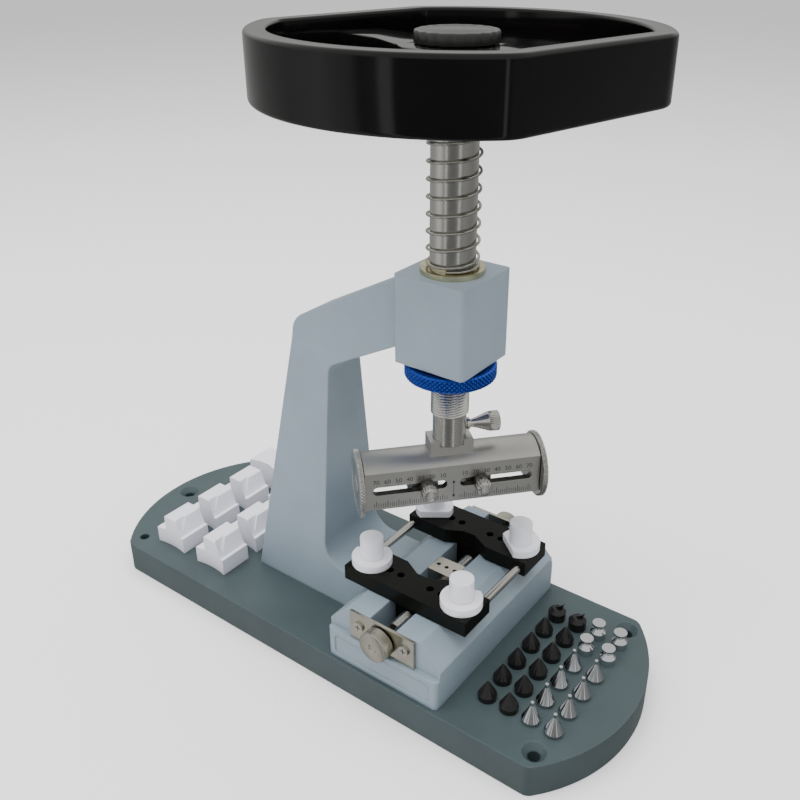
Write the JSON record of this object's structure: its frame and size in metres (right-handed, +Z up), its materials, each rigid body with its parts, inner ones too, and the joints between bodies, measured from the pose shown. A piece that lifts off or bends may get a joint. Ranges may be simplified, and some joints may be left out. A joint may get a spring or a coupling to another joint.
{
  "type": "watch_case_press",
  "caption": "Bench press on an oval base: handwheel spindle with return spring and graduated pin head over a self-centring pegged vise; tool bits and nylon supports stored at the ends",
  "frame": {"origin": "centre of the base plate's underside", "axes": "+X runs along the base from the nylon blocks to the tool bits; -Y is the side of the front vise knob; +Z is up"},
  "size_m": [0.3, 0.153, 0.2938],
  "materials": {
    "base_paint": "satin",
    "frame_paint": "satin",
    "black_wheel": "gloss",
    "black_anodised": "satin",
    "blue_anodised": "satin",
    "plated_brass": "satin",
    "bright_steel": "polished",
    "spring_steel": "polished",
    "nickel_plate": "satin",
    "black_oxide": "satin",
    "chrome_plate": "polished",
    "white_nylon": "satin"
  },
  "bodies": {
    "frame": {"base_plate": "base_paint", "frame_casting": "frame_paint", "frame_screws": "black_oxide", "head_bush": "plated_brass", "bearing_plate_front": "nickel_plate", "bearing_plate_rear": "nickel_plate", "plate_screws_front": "nickel_plate", "plate_screws_rear": "nickel_plate", "centre_block": "nickel_plate", "black_cone_bits": "black_oxide", "black_wedge_bits": "black_oxide", "chrome_pin_bits": "chrome_plate", "chrome_head_bits": "chrome_plate", "nylon_block_1": "white_nylon", "nylon_block_2": "white_nylon", "nylon_block_3": "white_nylon", "nylon_block_4": "white_nylon", "nylon_block_5": "white_nylon", "nylon_block_6": "white_nylon", "curved_nylon_support": "white_nylon"},
    "press": {"spring_seat": "bright_steel", "return_spring": "spring_steel"},
    "rotor": {"spindle": "bright_steel", "handwheel": "black_wheel", "hub_cap": "black_anodised", "head_bar": "bright_steel"},
    "ring": {"stop_ring": "blue_anodised"},
    "side_clamp": {"side_thumbscrew": "bright_steel"},
    "bar_drive": {"bar_screw": "bright_steel", "end_disc_left": "bright_steel", "end_disc_right": "bright_steel"},
    "carrier_l": {"carrier_left": "bright_steel"},
    "carrier_r": {"carrier_right": "bright_steel"},
    "clamp_l": {"clamp_screw_left": "bright_steel"},
    "clamp_r": {"clamp_screw_right": "bright_steel"},
    "vise_drive": {"lead_screw": "bright_steel", "knob_front": "nickel_plate", "knob_rear": "nickel_plate"},
    "jaw_f": {"jaw_front": "black_anodised", "guide_rod_left": "bright_steel", "guide_rod_right": "bright_steel"},
    "jaw_r": {"jaw_rear": "black_anodised"},
    "peg_fl": {"peg_front_left": "white_nylon"},
    "peg_fr": {"peg_front_right": "white_nylon"},
    "peg_rl": {"peg_rear_left": "white_nylon"},
    "peg_rr": {"peg_rear_right": "white_nylon"}
  },
  "joints": [
    {"name": "press_slide", "type": "slide", "parent": "frame", "child": "press", "axis": [0, 0, -1], "range_m": [0, 0.015], "stiffness_N_per_m": 1200, "springref_m": -0.022, "deforming": ["return_spring"]},
    {"name": "wheel_turn", "type": "hinge", "parent": "press", "child": "rotor", "pos_m": [0.049, 0, 0.27], "axis": [0, 0, 1], "continuous": true},
    {"name": "stop_ring_turn", "type": "hinge", "parent": "rotor", "child": "ring", "pos_m": [0.049, 0, 0.156], "axis": [0, 0, 1], "continuous": true},
    {"name": "side_clamp_turn", "type": "hinge", "parent": "rotor", "child": "side_clamp", "pos_m": [0.05833, 0.01044, 0.12755], "axis": [0.6665, 0.7455, 0], "continuous": true},
    {"name": "bar_screw_turn", "type": "hinge", "parent": "rotor", "child": "bar_drive", "pos_m": [0.049, 0, 0.1025], "axis": [0.6665, 0.7455, 0], "range_deg": [-3090, 9518]},
    {"name": "carrier_left_slide", "type": "slide", "parent": "rotor", "child": "carrier_l", "axis": [-0.6665, -0.7455, 0], "range_m": [-0.006, 0.0185]},
    {"name": "carrier_right_slide", "type": "slide", "parent": "rotor", "child": "carrier_r", "axis": [0.6665, 0.7455, 0], "range_m": [-0.0061, 0.0186]},
    {"name": "clamp_left_turn", "type": "hinge", "parent": "carrier_l", "child": "clamp_l", "pos_m": [0.05087, -0.01817, 0.1033], "axis": [0.7455, -0.6665, 0], "continuous": true},
    {"name": "clamp_right_turn", "type": "hinge", "parent": "carrier_r", "child": "clamp_r", "pos_m": [0.06726, 0.00017, 0.1033], "axis": [0.7455, -0.6665, 0], "continuous": true},
    {"name": "vise_screw_turn", "type": "hinge", "parent": "frame", "child": "vise_drive", "pos_m": [0.049, 0, 0.0405], "axis": [0, 1, 0], "range_deg": [-2164, 4864]},
    {"name": "jaw_front_slide", "type": "slide", "parent": "frame", "child": "jaw_f", "axis": [0, 1, 0], "range_m": [-0.006, 0.0135]},
    {"name": "jaw_rear_slide", "type": "slide", "parent": "frame", "child": "jaw_r", "axis": [0, -1, 0], "range_m": [-0.0061, 0.0136]},
    {"name": "peg_front_left_turn", "type": "hinge", "parent": "jaw_f", "child": "peg_fl", "pos_m": [0.0237, -0.0255, 0.0565], "axis": [0, 0, 1], "continuous": true},
    {"name": "peg_front_right_turn", "type": "hinge", "parent": "jaw_f", "child": "peg_fr", "pos_m": [0.0743, -0.0255, 0.0565], "axis": [0, 0, 1], "continuous": true},
    {"name": "peg_rear_left_turn", "type": "hinge", "parent": "jaw_r", "child": "peg_rl", "pos_m": [0.0237, 0.0255, 0.0565], "axis": [0, 0, 1], "continuous": true},
    {"name": "peg_rear_right_turn", "type": "hinge", "parent": "jaw_r", "child": "peg_rr", "pos_m": [0.0743, 0.0255, 0.0565], "axis": [0, 0, 1], "continuous": true}
  ],
  "couplings": [
    {"joint": "bar_screw_turn", "follows": "carrier_left_slide", "rad_per_m": 8976},
    {"joint": "carrier_right_slide", "follows": "carrier_left_slide", "ratio": 1},
    {"joint": "vise_screw_turn", "follows": "jaw_front_slide", "rad_per_m": 6283.2},
    {"joint": "jaw_rear_slide", "follows": "jaw_front_slide", "ratio": 1}
  ]
}
